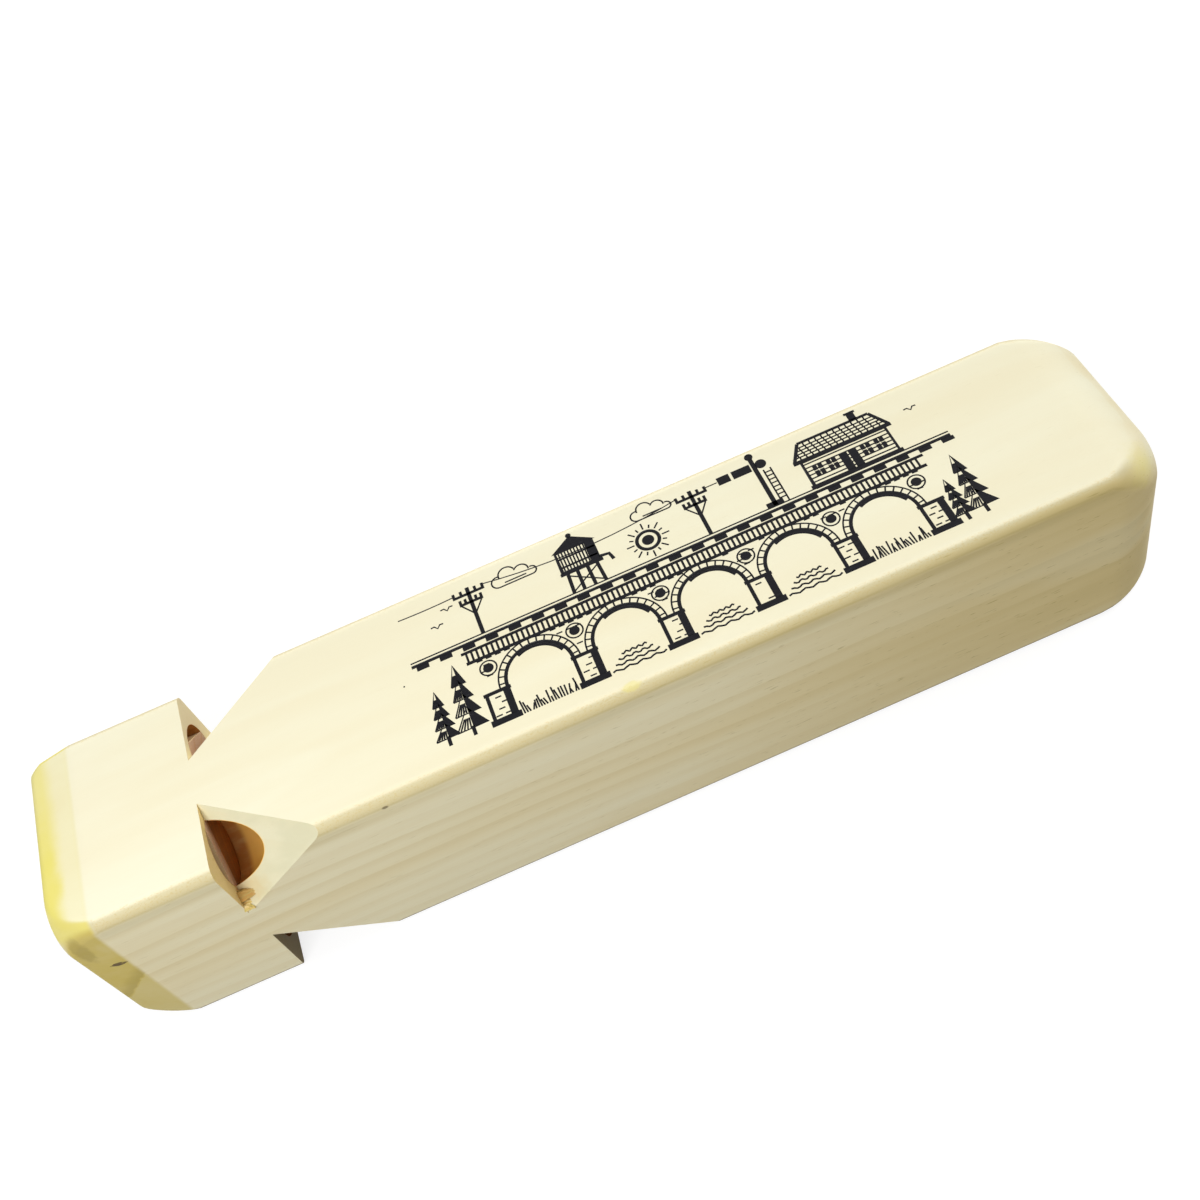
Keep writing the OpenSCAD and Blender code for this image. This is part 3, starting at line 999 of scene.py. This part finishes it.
class Drawing:
    """Collects strokes and fills of the picture, in millimetres from its lower left corner."""

    def __init__(self, sheet):
        self.sheet = sheet
        self.fine, self.bold = sheet.fine, sheet.bold
        self.origin = Vector((0, 0))
        self.strokes = {}
        self.fills = []

    def placed(self, points):
        return [self.origin + Vector(point) for point in points]

    def path(self, points, width):
        self.strokes.setdefault(width, []).append(self.placed(points))

    def line(self, start, end, width):
        self.path([start, end], width)

    def shape(self, *corners):
        self.fills.append(self.placed(corners))

    def box(self, low, high):
        self.shape(low, (high[0], low[1]), high, (low[0], high[1]))

    def frame(self, low, high, width):
        self.path([low, (high[0], low[1]), high, (low[0], high[1]), low], width)

    def arc(self, centre, radius, width, start=0.0, end=360.0, steps=28):
        turns = [math.radians(start + (end - start) * i / steps) for i in range(steps + 1)]
        self.path([Vector(centre) + radius * turned(turn) for turn in turns], width)

    def disc(self, centre, radius, sides=20):
        self.shape(*(Vector(centre) + radius * turned(math.tau * i / sides) for i in range(sides)))

    def outline(self, name, paths, closed):
        """Curve of straight runs, flat on the top face"""
        curve = bpy.data.curves.new(name, "CURVE")
        for path in paths:
            run = curve.splines.new("POLY")
            run.points.add(len(path) - 1)
            for point, (u, v) in zip(run.points, path):
                point.co = (self.sheet.left + u * MM, self.sheet.foot + v * MM, 0, 1)
            run.use_cyclic_u = closed
        drawn = bpy.data.objects.new(name, curve)
        bpy.context.scene.collection.objects.link(drawn)
        drawn.select_set(True)
        bpy.context.view_layer.objects.active = drawn
        return curve

    def press(self, name):
        """Turns the drawing into one film of ink that lies on the top face"""
        deselect()
        for width, paths in self.strokes.items():
            line = self.outline(name, paths, False)
            line.dimensions = "3D"
            line.bevel_depth = width / 2
            line.bevel_resolution = 1
            line.use_fill_caps = True
        for shape in self.fills:
            fill = self.outline(name, [shape], True)
            fill.dimensions = "2D"
            fill.fill_mode = "BOTH"
            fill.extrude = self.bold / 2
        bpy.ops.object.convert(target="MESH")
        bpy.ops.object.join()
        with editing() as piece:
            piece.name = piece.data.name = name
            scale(1, 1, 2 * self.sheet.film / self.bold)
            move(0, 0, TOP_Z * MM)
            bpy.ops.mesh.normals_make_consistent(inside=False)
        return piece


def pier_u(index):
    return PIER_FIRST + PIER_PITCH * index


def in_masonry(u, v):
    """True inside the stonework of the viaduct, clear of the arches"""
    first, last = pier_u(0) - PIER_HALF, pier_u(PIER_COUNT - 1) + PIER_HALF
    if not first + BRICK_SPARE < u < last - BRICK_SPARE:
        return False
    bay = (u - PIER_FIRST) / PIER_PITCH
    from_pier = abs(bay - round(bay)) * PIER_PITCH
    if v < SPRING_V:
        return from_pier < PIER_HALF - BRICK_SPARE
    from_crown = PIER_PITCH / 2 - from_pier
    return math.hypot(from_crown, v - SPRING_V) > ARCH_RADIUS + ARCH_STONE + BRICK_SPARE


def draw_viaduct(d):
    """Arches, stonework, deck and rails"""
    dice = random.Random(d.sheet.seed)
    for i in range(PIER_COUNT):
        u = pier_u(i)
        for side in (-PIER_HALF, PIER_HALF):
            d.line((u + side, 0.9), (u + side, SPRING_V), d.bold)
        d.box((u + PIER_HALF - 0.75, 0.9), (u + PIER_HALF, SPRING_V - 0.5))
        d.box((u - PIER_HALF - 0.6, 0.0), (u + PIER_HALF + 0.6, 0.95))
        d.box((u - PIER_HALF - 0.4, SPRING_V - 0.5), (u + PIER_HALF + 0.4, SPRING_V + 0.05))
        d.arc((u, ROUNDEL_V), 1.15, d.fine, steps=22)
        d.disc((u, ROUNDEL_V), 0.72, 18)
    for i in range(PIER_COUNT - 1):
        crown = (pier_u(i) + PIER_PITCH / 2, SPRING_V)
        d.arc(crown, ARCH_RADIUS, d.bold, 0, 180)
        d.arc(crown, ARCH_RADIUS - 0.42, d.bold, 25, 118, 18)
        d.arc(crown, ARCH_RADIUS + ARCH_STONE, d.fine, 0, 180)
        for turn in range(6, 180, 12):
            way = turned(math.radians(turn))
            low = Vector(crown) + way * ARCH_RADIUS
            d.line(low, low + way * ARCH_STONE, d.fine)
    left, right = pier_u(0) - PIER_HALF - 1.0, pier_u(PIER_COUNT - 1) + PIER_HALF + 1.0
    for course in range(COURSE_COUNT):
        v = COURSE_FIRST + COURSE_HEIGHT * course
        for i in range(int((right - left) / BRICK_PITCH)):
            u = left + BRICK_PITCH * i + BRICK_PITCH / 2 * (course % 2)
            if in_masonry(u, v) and in_masonry(u + BRICK_LENGTH, v) and v < DECK_LOW - 0.4:
                if dice.random() < BRICK_SHARE:
                    d.line((u, v), (u + BRICK_LENGTH, v), d.fine)
    d.box((left, DECK_LOW - 0.35), (right, DECK_LOW + 0.15))
    d.box((left - 0.3, DECK_HIGH - 0.15), (right + 0.3, DECK_HIGH + 0.3))
    for i in range(int((right - left) / BALUSTER_PITCH)):
        u = left + BALUSTER_PITCH * (i + 0.5)
        d.line((u, DECK_LOW + 0.1), (u, DECK_HIGH - 0.1), d.fine * 1.35)
    d.line((0.0, RAIL_V), (RAIL_LENGTH, RAIL_V), d.bold)
    d.line((0.0, RAIL_V + 0.62), (RAIL_LENGTH, RAIL_V + 0.62), d.fine)
    for i in range(SLEEPER_COUNT):
        u = 0.6 + SLEEPER_PITCH * i
        d.box((u, RAIL_V - 0.95), (u + SLEEPER_LENGTH, RAIL_V - 0.25))


def draw_pine(d, u, height):
    """Pine with a dark side and hatched boughs"""
    d.box((u - 0.25, 0.1), (u + 0.25, 1.6))
    rise = (height - 1.2) / 2.9
    for layer in range(4):
        share = layer / 4
        half = 1.75 * (1 - 0.72 * share) * height / 9
        low = 1.3 + share * (height - 1.6)
        d.path([(u - half, low), (u, low + rise), (u + half, low), (u - half, low)], d.fine)
        d.shape((u + 0.05, low + 0.1), (u + half, low), (u, low + rise))
        for hatch in range(4):
            k = -0.78 + 0.22 * hatch
            d.line((u + half * k, low + 0.1), (u + half * k * 0.45, low + rise * 0.5), d.fine)


def draw_cloud(d, u, v, size):
    """Four bows over two straight lines"""
    for along, up, radius, start, end in CLOUD_BOWS:
        d.arc((u + along * size, v + up * size), radius * size, d.fine, start, end, 12)
    for down, inset in ((0.9, 0.0), (0.45, 0.8)):
        line_v = v - down * size
        d.line((u - (2.1 - inset) * size, line_v), (u + (2.5 - inset) * size, line_v), d.fine)


def draw_landscape(d):
    """Banks, water, pines, clouds, sun and birds"""
    dice = random.Random(d.sheet.seed + 1)
    for u, height in PINES:
        draw_pine(d, u, height)
    for i in range(1, PIER_COUNT - 2):
        middle = pier_u(i) + PIER_PITCH / 2
        for row in range(4):
            v = 0.4 + 0.75 * row
            half = 3.7 - 0.65 * row
            wave = [(middle - half + half * k / 8, v + 0.16 * math.sin(k * 1.6 + row)) for k in range(17)]
            d.path(wave, d.fine * 1.2)
    for i in (0, PIER_COUNT - 2):
        middle = pier_u(i) + PIER_PITCH / 2
        for blade in range(20):
            u = middle - 3.7 + 7.4 * blade / 19
            d.line((u, 0.1), (u + dice.uniform(-0.35, 0.35), 0.8 + 1.5 * dice.random()), d.fine)
    for cloud in CLOUDS:
        draw_cloud(d, *cloud)
    d.arc(SUN, 1.55, d.bold)
    d.disc(SUN, 0.85)
    for ray in range(SUN_RAYS):
        way = turned(math.tau * ray / SUN_RAYS)
        d.line(Vector(SUN) + way * 2.0, Vector(SUN) + way * (2.6 if ray % 2 else 3.1), d.fine)
    for u, v in BIRDS:
        d.path([(u + along, v + up) for along, up in BIRD], d.fine)
    d.disc(STRAY_DOT, 0.12, 10)


def draw_tower(d):
    """Water tower on braced legs, around the drawing's origin"""
    low, high = 3.8, 7.4
    for leg in (-2.3, -0.8, 0.8, 2.3):
        d.line((leg, 0), (leg * 0.92, 3.3), d.bold)
    for slant in (-2.2, 2.2):
        d.line((-slant, 0.2), (slant, 3.1), d.fine)
    d.box((-3.1, 3.25), (3.1, low))
    d.frame((-2.7, low), (2.7, high), d.bold)
    for plank in range(11):
        d.line((-2.25 + 0.45 * plank, low), (-2.25 + 0.45 * plank, high), d.fine)
    d.box((1.5, low), (2.7, high))
    for hoop in (0.9, 2.4):
        d.box((-2.8, low + hoop - 0.16), (2.8, low + hoop + 0.16))
    d.shape((-3.2, high), (3.2, high), (0.3, high + 1.9), (-0.3, high + 1.9))
    d.disc((0, high + 2.2), 0.4, 14)
    d.path([(2.7, low + 0.3), (4.1, low + 0.1), (4.4, low - 1.1)], d.bold)


def draw_shed(d):
    """Goods shed with dark windows and a tiled roof, around the drawing's origin"""
    half, eaves, ridge = 6.2, 4.9, 8.3
    tile, tile_rows = 0.9, 5
    d.frame((-half, 0), (half, eaves), d.bold)
    d.box((-half - 0.5, -0.1), (half + 0.5, 0.55))
    for row in range(6):
        d.line((-half, 1.0 + 0.68 * row), (half, 1.0 + 0.68 * row), d.fine)
    for window in (-4.5, -2.5, 2.5, 4.5):
        for pane_u in (-0.38, 0.38):
            for pane_v in (0.0, 1.05):
                low = (window + pane_u - 0.31, 1.75 + pane_v)
                d.box(low, (low[0] + 0.62, low[1] + 0.92))
    d.box((-1.25, 0.5), (-0.1, 3.7))
    d.box((0.1, 0.5), (1.25, 3.7))
    d.box((-half - 1.0, eaves - 0.1), (half + 1.0, eaves + 0.4))
    d.box((-half + 0.9, ridge - 0.2), (half - 0.9, ridge + 0.25))
    for side in (-1, 1):
        d.line((side * (half + 0.8), eaves + 0.3), (side * (half - 0.9), ridge), d.bold)
    for row in range(tile_rows):
        share = row / tile_rows
        v = eaves + 0.5 + (ridge - eaves - 0.7) * share
        reach = half + 0.6 - 1.7 * share
        d.line((-reach, v), (reach, v), d.fine)
        for i in range(int(2 * reach / tile)):
            u = -reach + tile * i + tile / 2 * (row % 2)
            d.line((u, v), (u, v + 0.62), d.fine)
    d.box((2.6, ridge), (3.7, ridge + 1.3))
    d.box((2.35, ridge + 1.25), (3.95, ridge + 1.65))


def draw_semaphore(d):
    """Signal post with its arm, lamp and ladder"""
    u, foot = SIGNAL_U, GROUND_V
    d.box((u - 0.32, foot), (u + 0.32, 23.8))
    d.box((u - 1.2, foot - 0.1), (u + 1.2, foot + 0.8))
    d.disc((u, 24.3), 0.6, 16)
    d.box((u - 5.4, 21.7), (u - 3.6, 23.1))
    d.box((u - 3.2, 21.7), (u - 0.5, 23.1))
    d.disc((u + 1.0, 22.4), 0.8, 18)
    for step in range(8):
        v = foot + 0.9 + 0.72 * step
        d.line((u + 0.9, v), (u + 1.9, v), d.fine)
    for rail in (0.9, 1.9):
        d.line((u + rail, foot), (u + rail, 21.2), d.fine)


def draw_telegraph(d):
    """Poles with their arms and insulators, and the wires between them"""
    for u in POLES_U:
        d.box((u - 0.28, GROUND_V), (u + 0.28, 23.0))
        for v, half in POLE_ARMS:
            d.box((u - half, v - 0.22), (u + half, v + 0.22))
            for side in (-half + 0.2, -half * 0.45, half * 0.45, half - 0.2):
                d.box((u + side - 0.2, v + 0.2), (u + side + 0.2, v + 0.85))
        for side in (-1.5, 1.5):
            d.line((u + side, 20.3), (u, 18.2), d.fine)
    first, second = POLES_U
    spans = (
        (0.2, first - ARM_HALF, 22.3), (first + ARM_HALF, second - ARM_HALF, 22.5),
        (second + ARM_HALF, SIGNAL_U - 5.5, 22.4))
    for start, end, v in spans:
        way = end - start
        sag = WIRE_SAG * way ** 2
        d.path([(start + way * k / 12, v - sag * (1 - (k / 6 - 1) ** 2)) for k in range(13)], d.fine * 0.8)


def draw_signals(d):
    """Water tower, shed, signal post and telegraph line"""
    for u, draw in ((TOWER_U, draw_tower), (SHED_U, draw_shed)):
        d.origin = Vector((u, GROUND_V))
        draw(d)
    d.origin = Vector((0, 0))
    draw_semaphore(d)
    draw_telegraph(d)


DRAWINGS = {"print_viaduct": draw_viaduct, "print_landscape": draw_landscape, "print_signals": draw_signals}


class WHISTLE_OT_print(bpy.types.Operator):
    """Prints a railway landscape on the top face"""
    bl_idname = "whistle.print"
    bl_label = "Print"

    def execute(self, context):
        sheet = context.scene.whistle_print
        material = ink_material(tuple(sheet.ink))
        for name, draw in DRAWINGS.items():
            drawing = Drawing(sheet)
            draw(drawing)
            hand_over(drawing.press(name), material)
        return {"FINISHED"}


# Stage

SENSOR_WIDTH, NEAR_CLIP = 36, 0.005
CAMERA_AHEAD, CAMERA_RIGHT = Vector((0.0220, 0.6090, -0.7929)), Vector((0.9168, -0.3286, -0.2269))
FLOOR_SIZE, FLOOR_Z, FLOOR_PALE, FLOOR_GLOW = 3.0, -0.01 * MM, 0.27, 0.80
WHITE = (1, 1, 1)

# Lamps: name, place, point that it faces, side of its square and the property with its share of light
LAMPS = (
    ("right_lamp", (0.50, 0.10, 0.40), (0, 0, 0.015), 0.35, "key_share"),
    ("left_lamp", (-0.12, -0.16, 0.22), (-0.02, -0.01, 0.015), 0.14, "side_share"),
    ("front_lamp", (-0.05, -0.22, 0.06), (-0.03, 0, 0.015), 0.12, "fill_share"),
    ("back_lamp", (0, 0.45, 0.034), (0, 0, 0.025), 0.04, "back_share"))


def add_lamp(name, where, towards, size, share):
    """Square area lamp that gives a share of full light at the point that it faces"""
    deselect()
    way = Vector(towards) - Vector(where)
    bpy.ops.object.light_add(type="AREA", location=where, rotation=way.to_track_quat("-Z", "Y").to_euler())
    lamp = bpy.context.object
    lamp.name = lamp.data.name = name
    lamp.data.size = size
    lamp.data.energy = share * math.pi ** 2 * way.length ** 2
    lamp.visible_camera = False


def white_for_camera(g, output, seen, plain):
    """Shows one shader to the camera, mirrors and glass, and lights the object with another"""
    path = g.add("ShaderNodeLightPath").outputs
    direct = g.either(path["Is Camera Ray"], path["Is Glossy Ray"], path["Is Transmission Ray"])
    shown = g.add("ShaderNodeMixShader", {0: direct, 1: plain.outputs[0], 2: seen.outputs[0]})
    g.put(g.tree.nodes[output].inputs["Surface"], shown.outputs[0])


def add_camera(stage):
    """Camera that stands and looks as the photo's did"""
    bpy.ops.object.camera_add(location=stage.eye)
    camera = bpy.context.object
    camera.name = camera.data.name = "photo_camera"
    ahead = CAMERA_AHEAD.normalized()
    right = (CAMERA_RIGHT - ahead * CAMERA_RIGHT.dot(ahead)).normalized()
    turn = Matrix((right, right.cross(ahead), -ahead)).transposed().to_4x4()
    camera.matrix_world = Matrix.Translation(stage.eye) @ turn
    camera.data.lens = stage.lens
    camera.data.sensor_width = SENSOR_WIDTH
    camera.data.clip_start = NEAR_CLIP
    return camera


def add_floor(stage):
    """White floor that keeps the object's shadow"""
    deselect()
    bpy.ops.mesh.primitive_plane_add(size=FLOOR_SIZE, location=(0, 0, FLOOR_Z))
    floor = bpy.context.object
    floor.name = floor.data.name = "floor"
    g = Surface("floor")
    bounce = g.add("ShaderNodeBsdfDiffuse", {"Color": tuple(stage.floor_bounce)})
    pale = g.add("ShaderNodeBsdfDiffuse", {"Color": (FLOOR_PALE,) * 3})
    glow = g.add("ShaderNodeEmission", {"Color": WHITE, "Strength": FLOOR_GLOW})
    lit = g.add("ShaderNodeAddShader", {0: pale.outputs[0], 1: glow.outputs[0]})
    white_for_camera(g, "Material Output", lit, bounce)
    g.tree.nodes.remove(g.shader)
    wear(floor, g.material)


def add_sky(scene, share):
    """White background whose light is a share of what the camera sees"""
    scene.world = bpy.data.worlds.new("sky")
    scene.world.use_nodes = True
    g = Graph(scene.world.node_tree)
    white = g.add("ShaderNodeBackground", {"Color": WHITE, "Strength": 1.0})
    soft = g.tree.nodes["Background"]
    g.put(soft.inputs["Color"], WHITE)
    g.put(soft.inputs["Strength"], share)
    white_for_camera(g, "World Output", white, soft)


class WHISTLE_OT_stage(bpy.types.Operator):
    """Adds the camera, the pale floor and the soft light"""
    bl_idname = "whistle.stage"
    bl_label = "Stage"

    def execute(self, context):
        scene = context.scene
        stage = scene.whistle_stage
        scene.view_settings.view_transform = "Standard"
        scene.camera = add_camera(stage)
        add_floor(stage)
        for *lamp, share in LAMPS:
            add_lamp(*lamp, getattr(stage, share))
        add_sky(scene, stage.sky_share)
        return {"FINISHED"}


class WHISTLE_PT_panel(bpy.types.Panel):
    """Lists the steps that dress the whistle"""
    bl_idname = "WHISTLE_PT_panel"
    bl_label = "Wooden train whistle"
    bl_space_type = "VIEW_3D"
    bl_region_type = "UI"
    bl_category = "Whistle"

    def draw(self, context):
        for step in STEPS:
            self.layout.operator(step.bl_idname)
        for name, group in GROUPS.items():
            column = self.layout.box().column()
            for value in group.__annotations__:
                column.prop(getattr(context.scene, name), value)


STEPS = (WHISTLE_OT_stage, WHISTLE_OT_block, WHISTLE_OT_plugs, WHISTLE_OT_marks, WHISTLE_OT_print)
GROUPS = {
    "whistle_wood": WhistleWood,
    "whistle_block": WhistleBlock,
    "whistle_print": WhistlePrint,
    "whistle_stage": WhistleStage,
}


def register():
    for name, group in GROUPS.items():
        bpy.utils.register_class(group)
        setattr(bpy.types.Scene, name, PointerProperty(type=group))
    for shown in (*STEPS, WHISTLE_PT_panel):
        bpy.utils.register_class(shown)


def unregister():
    for shown in (WHISTLE_PT_panel, *reversed(STEPS)):
        bpy.utils.unregister_class(shown)
    for name, group in GROUPS.items():
        delattr(bpy.types.Scene, name)
        bpy.utils.unregister_class(group)


def main():
    register()
    bpy.ops.whistle.stage()
    bpy.ops.whistle.block()
    bpy.ops.whistle.plugs()
    bpy.ops.whistle.marks()
    bpy.ops.whistle.print()


if __name__ == "__main__":
    main()
